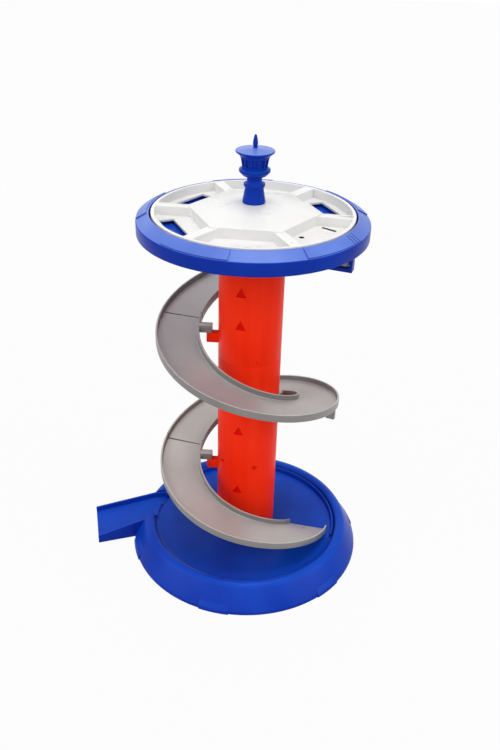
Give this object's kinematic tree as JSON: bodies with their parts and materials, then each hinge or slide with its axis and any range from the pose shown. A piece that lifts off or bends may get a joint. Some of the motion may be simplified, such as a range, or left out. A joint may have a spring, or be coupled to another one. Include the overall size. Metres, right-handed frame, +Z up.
{
  "type": "toy spiral car ramp",
  "caption": "Free-standing toy ramp tower: round base with exit chute, hollow column, helical lane and a deck with a turning tray of bays under a control tower knob.",
  "frame": {"origin": "centre of the base on the column axis, at the surface that the base stands on", "axes": "+Z up along the column, +X to the right and +Y away as seen from the front, chute towards -X"},
  "size_m": [0.3, 0.2506, 0.4528],
  "materials": {
    "blue": "gloss moulded",
    "red": "semi-gloss moulded",
    "grey": "satin moulded",
    "white": "gloss moulded",
    "steel": "plated"
  },
  "bodies": {
    "frame": {"base_shell": "blue", "exit_chute": "blue", "deck": "blue", "ramp_hanger": "blue", "column_lower_front": "red", "column_lower_back": "red", "column_upper_front": "red", "column_upper_back": "red", "upper_ramp": "grey", "middle_ramp": "grey", "lower_ramp": "grey", "base_screws": "steel", "column_screws": "steel", "ramp_end_screw": "steel", "deck_screws": "steel", "hanger_screws": "steel"},
    "carousel": {"tray": "white", "tower_stem": "blue", "tower_cab": "blue", "tower_roof": "blue", "pivot_washer": "steel", "pivot_screw": "steel"}
  },
  "joints": [
    {"name": "tray_spin", "type": "hinge", "parent": "frame", "child": "carousel", "pos_m": [0, 0, 0.371], "axis": [0, 0, 1], "continuous": true}
  ]
}
